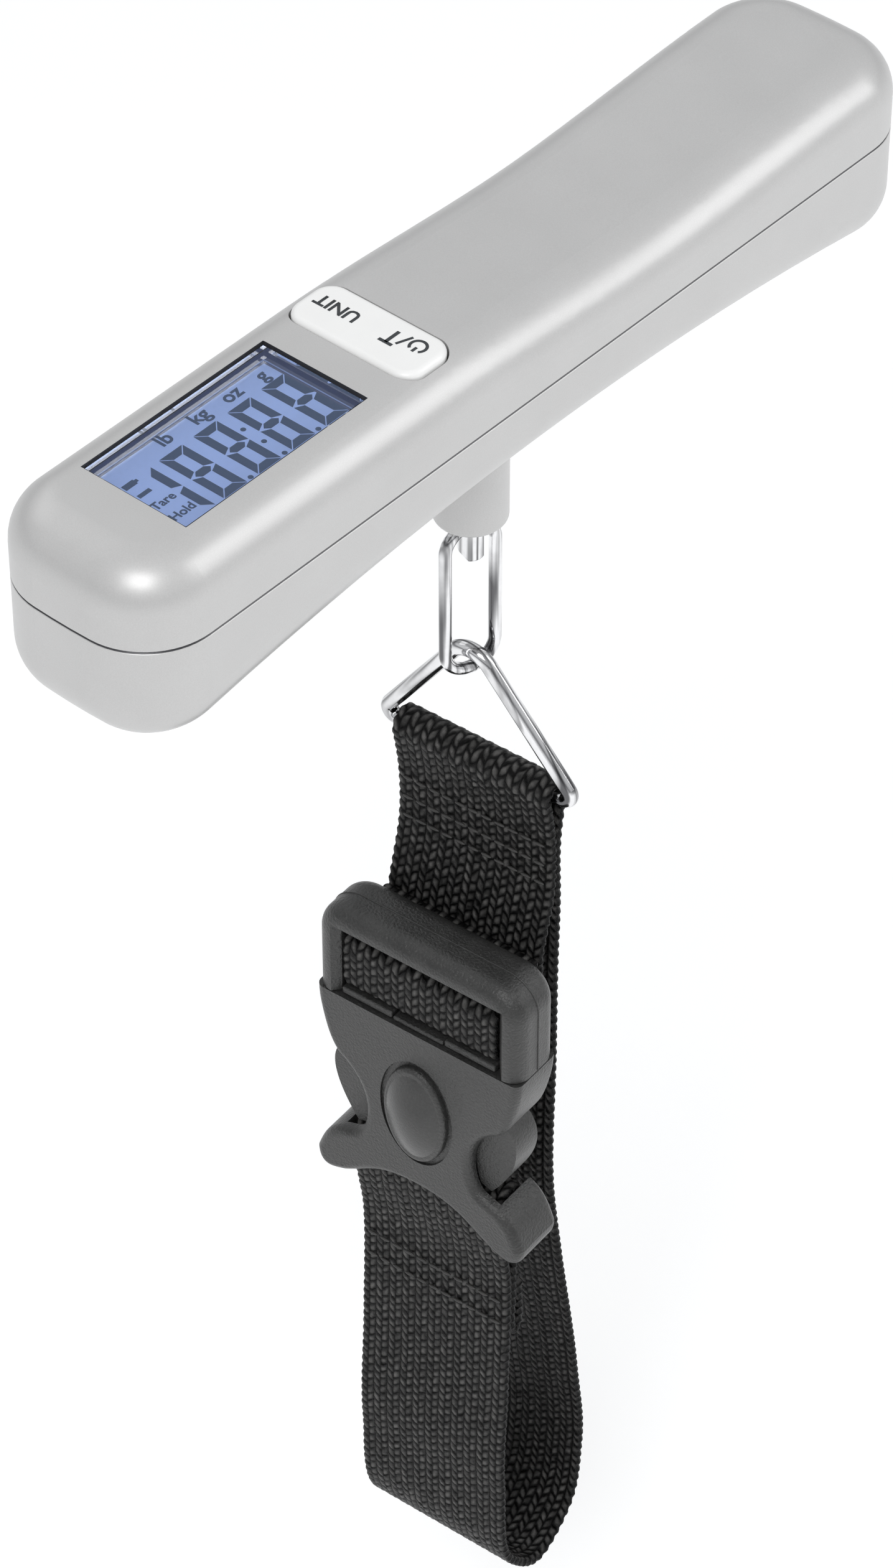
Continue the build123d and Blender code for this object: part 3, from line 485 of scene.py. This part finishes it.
# ---------------------------------------------------------------- load cell
# A milled aluminium bar with a waisted middle; its strain gauges lie under white sealant,
# and a sleeved lead takes their signal to the board.
g = Graph("milled_aluminium")
x, y, z = g.axes(g.place())
cutter = ((x / (0.35 * MM) + g.noise(3 * MM) * 0.8) * 6.2832).sine() * 0.5 + 0.5
wear("load_cell", material=g.shade(
    Base_Color=g.mix(cutter, (0.56, 0.57, 0.58), (0.74, 0.75, 0.76)), Metallic=1.0,
    Roughness=0.3 + cutter * 0.1, Normal=g.bump(cutter, 0.01 * MM)))
wear("strain_gauges", material=moulded("white_sealant", (0.66, 0.64, 0.58), (0.8, 0.79, 0.73), 0.6 * MM,
                                       0.1 * MM, 0.5))
wear("sensor_lead", material=moulded("lead_sleeve", (0.02, 0.02, 0.022), (0.05, 0.05, 0.055), 0.2 * MM,
                                     0.02 * MM, 0.55))

# ---------------------------------------------------------------- chain link and ring
# Bright plated steel wire.  The link is bent round and butt welded on one leg; the ring is
# a triangle whose bar carries the webbing.  Faint drawing lines are in the plating's relief; dark
# streaks painted into its colour stand in for reflections of a dark surround.
def plated(name):
    """Chrome over drawn wire.  Painted streaks stand in for dark reflections: the noise that
    darkens the base colour is quick in x and about thirty times slower in y and z."""
    g = Graph(name)
    x, y, z = g.axes(g.place())
    lengthways = g.node("CombineXYZ", inputs={0: x, 1: y * 0.03, 2: z * 0.03})
    line, cloud = g.noise(0.55 * MM, 1.0, lengthways), g.noise(1.5 * MM)
    tone = ((line - 0.36) * 4.5).least(1).most(0) * (0.8 + cloud * 0.4)
    return g.shade(Base_Color=g.mix(tone.least(1), (0.13, 0.13, 0.135), (0.82, 0.82, 0.83)), Metallic=1.0,
                   Roughness=0.09 + cloud * 0.06, Normal=g.bump(line, 0.01 * MM))


chrome = plated("bright_chrome")
wear("chain_link", "triangle_ring", "load_eye", material=chrome)

# ---------------------------------------------------------------- webbing
# Coarse polypropylene webbing, 25.4 mm wide, in one length: hemmed at the housing, round the
# loop, up the back, over the ring's bar and down into the frame, where it is locked round
# the keeper bar.  Each column of the weave is a row of slanting floats, like knitting.
HANG_YAW = radians(4.3)
ACROSS = np.array([-sin(HANG_YAW), cos(HANG_YAW), 0])
DEPTH = np.array([cos(HANG_YAW), sin(HANG_YAW), 0])
WEB_W, WEB_T = 25.4, 1.25
COLUMN, FLOAT, SLANT = WEB_W / 22, 1.55, 0.5
STEP, FACE_POINTS, EDGE_POINTS = 0.37, 71, 5
EDGE_R, RELIEF, SCALLOP = 0.45, 0.22, 0.12


def arc(cx, cz, radius, start, end, count=9):
    """Points on a circle from one angle to the other, in degrees."""
    turn = np.radians(np.linspace(start, end, count))
    return np.column_stack([cx + radius * np.cos(turn), cz + radius * np.sin(turn)])


def through(points, step):
    """Smooth curve through points, in even steps: cubic pieces whose slope at each point is
    the weighted mean of the slopes to its neighbours, the nearer one counting more."""
    p = np.vstack(points)
    gap = np.hypot(*np.diff(p, axis=0).T)
    p = p[np.concatenate([[True], gap > 1e-6])]
    chord = np.hypot(*np.diff(p, axis=0).T)
    run = np.diff(p, axis=0) / chord[:, None]
    inner = (run[:-1] * chord[1:, None] + run[1:] * chord[:-1, None]) / (chord[:-1] + chord[1:])[:, None]
    slope = np.vstack([run[:1], inner, run[-1:]])
    knot = np.concatenate([[0], np.cumsum(chord)])
    at = np.linspace(0, knot[-1], int(knot[-1] / 0.05) + 1)
    i = np.clip(np.searchsorted(knot, at, side="right") - 1, 0, len(chord) - 1)
    h, t = chord[i][:, None], ((at - knot[i]) / chord[i])[:, None]
    fine = ((2 * t**3 - 3 * t**2 + 1) * p[i] + (t**3 - 2 * t**2 + t) * h * slope[i]
            + (3 * t**2 - 2 * t**3) * p[i + 1] + (t**3 - t**2) * h * slope[i + 1])
    length = np.concatenate([[0], np.cumsum(np.hypot(*np.diff(fine, axis=0).T))])
    even = np.linspace(0, length[-1], max(2, round(length[-1] / step) + 1))
    return np.column_stack([np.interp(even, length, fine[:, k]) for k in (0, 1)]), even


def weave_height(c, s):
    """Relief from 0 to 1: in each column a half-round ridge, cut into floats that slant one way
    in odd columns and the other way in even ones."""
    column = np.floor(c / COLUMN)
    f = c / COLUMN - column - 0.5
    odd = np.mod(column, 2)
    phase = s / FLOAT + 0.5 * odd + SLANT * f * (1 - 2 * odd)
    t = phase - np.floor(phase) - 0.5
    return np.sqrt(np.clip(1 - (2 * f)**2, 0, 1)) * (1 - (2 * t)**2)


def webbing(name, points, start_s, cad_node):
    """Strap along a curve in the hanging plane: a thin closed section with rounded selvedges,
    carried along the curve, with the weave raised on both faces and scalloped at the edges."""
    centre, along = through(points, STEP)
    tangent = np.gradient(centre, axis=0)
    tangent /= np.hypot(*tangent.T)[:, None]
    normal = np.column_stack([-tangent[:, 1], tangent[:, 0]])
    half_w, half_t = WEB_W / 2, WEB_T / 2
    flat = np.linspace(-half_w + EDGE_R, half_w - EDGE_R, FACE_POINTS)
    turn = np.linspace(-pi / 2, pi / 2, EDGE_POINTS + 2)[1:-1]
    selvedge = half_w - EDGE_R + EDGE_R * np.cos(turn)
    level, rise = np.full(FACE_POINTS, half_t), half_t * np.sin(turn)
    c = np.concatenate([flat, selvedge, flat[::-1], -selvedge])
    n = np.concatenate([-level, rise, level, -rise])
    s = along[:, None] + start_s
    raise_by = RELIEF * (weave_height(c[None, :] + half_w, s) - 0.75) * (np.abs(n) == half_t)
    scallop = SCALLOP * np.sin(2 * pi * s / FLOAT) * (np.abs(c) > half_w - EDGE_R) * np.sign(c)
    depth = n[None, :] + np.sign(n)[None, :] * raise_by
    wide = c[None, :] + scallop
    points3 = (DEPTH * (centre[:, :1, None] + normal[:, :1, None] * depth[:, :, None])
               + ACROSS * wide[:, :, None])
    points3[:, :, 2] += centre[:, 1:] + normal[:, 1:] * depth
    rows, cols = depth.shape
    i, j = np.meshgrid(np.arange(rows - 1), np.arange(cols), indexing="ij")
    k = (j + 1) % cols
    quads = np.stack([i * cols + j, (i + 1) * cols + j, (i + 1) * cols + k, i * cols + k], -1).reshape(-1, 4)
    cap = np.arange(cols)
    faces = quads.tolist() + [cap.tolist(), ((rows - 1) * cols + cap[::-1]).tolist()]
    piece = piece_of(name, points3.reshape(-1, 3), faces, web_material, smooth=True)
    mesh = piece.data
    uv = np.empty((rows, cols, 2))
    uv[:, :, 0], uv[:, :, 1] = c + half_w, s
    corner = np.empty(len(mesh.loops), int)
    mesh.loops.foreach_get("vertex_index", corner)
    layer = mesh.uv_layers.new(name="cloth")
    layer.data.foreach_set("uv", uv.reshape(-1, 2)[corner].ravel())
    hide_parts(cad_node)
    return piece, along[-1]


g = Graph("charcoal_webbing")
c, s = g.axes(g.node("UVMap", {"uv_map": "cloth"}))[:2]
wobble = g.noise(2.2 * MM, 2.0)
column = (c / COLUMN).floor()
f = (c / COLUMN).fract() - 0.5
odd = (column / 2).fract() * 2
phase = s / FLOAT + odd * 0.5 + SLANT * f * (1 - odd * 2) + (wobble - 0.5) * 0.9
t = phase.fract() - 0.5
ridge = (1 - (f * 2) ** 2).most(0).sqrt() * (1 - (t.abs() * 2) ** 2.6)
fibre = ((phase * 3 + f * 9) * 6.2832).sine() * 0.5 + 0.5
fray, worn = g.noise(0.35 * MM, 3.0), g.noise(1.3 * MM, 1.0)
height = ridge * 0.85 + fibre * 0.07 + fray * 0.15
# Painted shade and highlight: the base colour goes nearly black in the gaps between floats and lighter on
# their tops.
tone = ((ridge - 0.35) * 1.5).least(1).most(0) ** 1.5 * (0.25 + (worn - 0.3) * 2.2) * (0.5 + fray * 0.9)
web_material = g.shade(
    Base_Color=g.mix(tone.least(1).most(0), (0.0008, 0.0008, 0.0008), (0.115, 0.112, 0.108)),
    Roughness=0.55 - ridge * 0.12 + (fray - 0.5) * 0.2, Specular_IOR_Level=0.2,
    Normal=g.bump(height, 0.6 * MM))

JOIN_Z = -112.0
upper_route = [[(-2.12, -98.6), (-2.12, -99.6)], arc(-3.12, -100.72, 1.0, 0, -90, 5), [(-6.0, -101.72)],
               arc(-9.57, -102.92, 1.2, 90, 180, 6), [(-10.77, -105.8)],
               arc(-9.57, -108.67, 1.2, 180, 270, 6), [(-6.8, -109.87)],
               arc(-3.77, -106.87, 3.0, -90, 0, 8), [(-0.77, -102.5), (-0.77, -98.6)],
               [(0.2, -94.5), (1.52, -89.0), (1.52, -78.5)], arc(2.2, -71.6, 1.88, 200, -20, 15),
               [(2.88, -78.5), (2.88, -92.0), (2.6, -104.0), (2.6, JOIN_Z)]]
loop_route = [[(2.6, JOIN_Z), (2.6, -120.0), (2.6, -146.0), (4.6, -160.0), (9.4, -190.0), (11.0, -208.0)],
              [(8.4, -219.6), (1.2, -224.4), (-5.2, -219.0), (-8.2, -200.0), (-7.6, -178.0), (-7.3, -157.0)],
              arc(-7.0, -140.3, 1.98, 180, 0, 11), [(-5.9, -152.0), (-6.0, -160.0)],
              arc(-5.36, -167.4, 0.64, 180, 360, 7), [(-4.72, -159.0)]]
webbing_upper, upper_length = webbing("webbing_upper", upper_route, 0.0, "strap_upper")
webbing_loop, loop_length = webbing("webbing_loop", loop_route, upper_length, "strap_loop")
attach(webbing_upper, "strap")
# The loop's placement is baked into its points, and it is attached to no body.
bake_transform(webbing_loop)

# ---------------------------------------------------------------- buckle
# A side-release buckle in tough acetal, with a fine spark-eroded texture on every outer face.
# The frame and its two springy arms are one moulding; the housing takes them from below.
def acetal(name, roughness, grain):
    """Dark plastic: a fine noise pebbles it, and its tone and gloss drift in soft clouds."""
    g = Graph(name)
    pebble, cloud = g.noise(0.38 * MM, 4.0), g.noise(5 * MM, 2.0)
    tone = cloud * 0.5 + pebble * 0.5
    return g.shade(Base_Color=g.mix(tone, (0.002, 0.002, 0.002), (0.050, 0.050, 0.0485)),
                   Roughness=roughness + (cloud - 0.5) * 0.14 + (pebble - 0.5) * 0.1,
                   Normal=g.bump(pebble, grain), Specular_IOR_Level=0.55)


plastic = acetal("spark_acetal", 0.36, 0.16 * MM)
wear("buckle_frame", "buckle_housing", "latch_arm_left", "latch_arm_right", material=plastic)


def grid_faces(rows, cols):
    """Quads between neighbours in rows of points that close round on themselves."""
    i, j = np.meshgrid(np.arange(rows - 1), np.arange(cols), indexing="ij")
    k = (j + 1) % cols
    quads = np.stack([i * cols + j, i * cols + k, (i + 1) * cols + k, (i + 1) * cols + j], -1)
    return quads.reshape(-1, 4)


def shell(name, grid, material, body):
    """Closed surface from a grid of points: rows along the piece, columns round it, ends capped."""
    rows, cols = grid.shape[:2]
    ring = np.arange(cols)
    faces = grid_faces(rows, cols).tolist() + [ring[::-1].tolist(), ((rows - 1) * cols + ring).tolist()]
    return fasten(piece_of(name, grid.reshape(-1, 3), faces, material, smooth=True), body)


def hang(depth, across, height):
    """Points in the frame from depth, across and height in the hanging plane's own axes."""
    depth, across, height = np.broadcast_arrays(depth, across, height)
    return depth[..., None] * DEPTH + across[..., None] * ACROSS + height[..., None] * np.array([0, 0, 1])


# The thumb oval is a domed boss inside its groove: the height falls off as one minus the
# square of the distance from the middle.
OVAL_HALF_W, OVAL_HALF_H, OVAL_Z, OVAL_FACE, DOME = 4.9, 8.2, -126.8, -12.5, 1.7
reach = np.linspace(1, 0.02, 16)[:, None]
turn = np.linspace(0, 2 * pi, 72, endpoint=False)[None, :]
swell = hang(OVAL_FACE - DOME * (1 - reach**2), OVAL_HALF_W * reach * np.cos(turn),
             OVAL_Z + OVAL_HALF_H * reach * np.sin(turn))
foot = hang(OVAL_FACE + 0.5, OVAL_HALF_W * np.cos(turn), OVAL_Z + OVAL_HALF_H * np.sin(turn))
thumb_plastic = acetal("thumb_polish", 0.26, 0.03 * MM)
shell("thumb_oval", np.concatenate([foot, swell])[:, ::-1], thumb_plastic, "housing")

# A thin witness line runs round the frame where the two halves of its mould met.
FRAME_HALF, FRAME_TOP, FRAME_FOOT, FRAME_CORNER = 17.0, -96.2, -111.6, 5.0
MOULD_X, MOULD_R = -7.5, 0.13
corner = arc(FRAME_HALF - FRAME_CORNER, FRAME_TOP - FRAME_CORNER, FRAME_CORNER, 0, 90, 12)
outline = np.vstack([[(FRAME_HALF, FRAME_FOOT)], corner, corner[::-1] * (-1, 1), [(-FRAME_HALF, FRAME_FOOT)]])


def carried(path, radius, count=8):
    """Round section carried along a path: at each point a circle square to the path."""
    along = np.gradient(path, axis=0)
    along /= np.linalg.norm(along, axis=1)[:, None]
    side = np.cross(along, DEPTH)
    side /= np.linalg.norm(side, axis=1)[:, None]
    up = np.cross(side, along)
    turn = np.linspace(0, 2 * pi, count, endpoint=False)
    return (path[:, None, :] + radius * (np.cos(turn)[None, :, None] * side[:, None, :]
            + np.sin(turn)[None, :, None] * up[:, None, :]))


mould_path = hang(MOULD_X, outline[:, 0], outline[:, 1])
shell("mould_line", carried(mould_path, MOULD_R), plastic, "strap")

# A stepped lip closes the foot of the frame's slot, just above the housing.
hang_axes = np.array([ACROSS, [0, 0, 1], DEPTH])
LIP_PITCH, LIP_FRONT, LIP_DEEP = 8.6, -9.6, 1.9
teeth = [block(-LIP_PITCH, -111.0, 8.4, 1.1), block(0, -111.3, 8.4, 0.7), block(LIP_PITCH, -111.0, 8.4, 1.1)]
ledge = plates("slot_lip", teeth, LIP_FRONT, LIP_DEEP, plastic, "strap", hang_axes)
soften = ledge.modifiers.new("soften", "BEVEL")
soften.width, soften.segments = 0.22 * MM, 2

# ---------------------------------------------------------------- stitching
# Rows of short lock stitches in charcoal thread: below the ring, where the two plies are sewn
# together, and across the hem under the housing.
thread = moulded("charcoal_thread", (0.012, 0.012, 0.012), (0.055, 0.053, 0.05), 0.12 * MM, 0.04 * MM, 0.5)
STITCH_LENGTH, STITCH_PITCH, STITCH_REACH, THREAD_R = 1.7, 2.15, 10.75, 0.24
BEAD_ROWS, BEAD_COLS = 9, 8


def stitching(name, depth, heights, body):
    """Stitches as long thin ellipsoids: radius times sine round, half length times cosine along."""
    polar = np.linspace(0.05, pi - 0.05, BEAD_ROWS)[:, None]
    turn = np.linspace(0, 2 * pi, BEAD_COLS, endpoint=False)[None, :]
    bead = np.stack([np.sin(polar) * np.cos(turn) * THREAD_R, np.cos(polar) * (STITCH_LENGTH / 2) + 0 * turn,
                     np.sin(polar) * np.sin(turn) * THREAD_R], -1).reshape(-1, 3)
    at = np.arange(-STITCH_REACH, STITCH_REACH + 0.05, STITCH_PITCH)
    spots = np.array([(depth, across, height) for height in heights for across in at])
    everyone = (spots[:, None, :] + bead[None]).reshape(-1, 3)
    starts = np.arange(len(spots)) * len(bead)
    ring = np.arange(BEAD_COLS)
    ends = [ring[::-1], len(bead) - BEAD_COLS + ring]
    faces = (starts[:, None, None] + grid_faces(BEAD_ROWS, BEAD_COLS)).reshape(-1, 4).tolist()
    faces += [(start + end).tolist() for start in starts for end in ends]
    fasten(piece_of(name, hang(*everyone.T), faces, thread, smooth=True), body)


stitching("ring_stitches", 0.84, (-80.2, -83.6, -87.0), "strap")
stitching("hem_stitches", -8.06, (-160.8, -165.2), "housing")

# ---------------------------------------------------------------- studio
# A plain pale floor well below the loop, three large soft boxes and a bright even surround with
# a darker belt low down, which the bright metal picks up.
FLOOR_DROP, FLOOR_HALF = 0.05, 4
floor_z = cad_box[0][2] - FLOOR_DROP
floor_mesh = bpy.data.meshes.new("floor")
floor_corners = [(x * FLOOR_HALF, y * FLOOR_HALF, floor_z) for x, y in ((-1, -1), (1, -1), (1, 1), (-1, 1))]
floor_mesh.from_pydata(floor_corners, [], [(0, 1, 2, 3)])
floor = bpy.data.objects.new("floor", floor_mesh)
bpy.context.collection.objects.link(floor)
floor_mesh.materials.append(moulded(
    "floor_paper", (0.92, 0.92, 0.92), (0.94, 0.94, 0.94), 3 * MM, 0.01 * MM, 0.8,
    mottle=40 * MM, Emission_Color=(1, 1, 1), Emission_Strength=0.17))


def softbox(name, azimuth, elevation, distance, width, height, power):
    """Rectangular area light that faces the handle from a direction."""
    light = bpy.data.lights.new(name, "AREA")
    light.shape, light.size, light.size_y, light.energy = "RECTANGLE", width, height, power
    lamp = bpy.data.objects.new(name, light)
    back = back_from(azimuth, elevation)
    lamp.location = back * distance + Vector((0, 0, -0.05))
    lamp.rotation_euler = back.to_track_quat("Z", "Y").to_euler()
    bpy.context.collection.objects.link(lamp)


softbox("key", -58, 48, 1.3, 0.6, 0.6, 7.0)
softbox("side", 40, 30, 1.4, 0.4, 0.9, 4.6)
softbox("far", 178, 40, 1.6, 1.2, 0.6, 2.0)

sky = Graph("surround", bpy.data.worlds)
bpy.context.scene.world = sky.material
up = sky.axes(sky.node("TexCoord", output="Generated"))[2]
belt = (1 - ((up - 0.12) / 0.16).abs()).most(0)
surround = sky.mix(belt, (0.80, 0.81, 0.82), (0.18, 0.18, 0.19))
background = sky.node("Background", inputs={"Color": surround, "Strength": 0.78})
sky.node("OutputWorld", inputs={"Surface": background})
bpy.context.scene.view_settings.view_transform = "Standard"
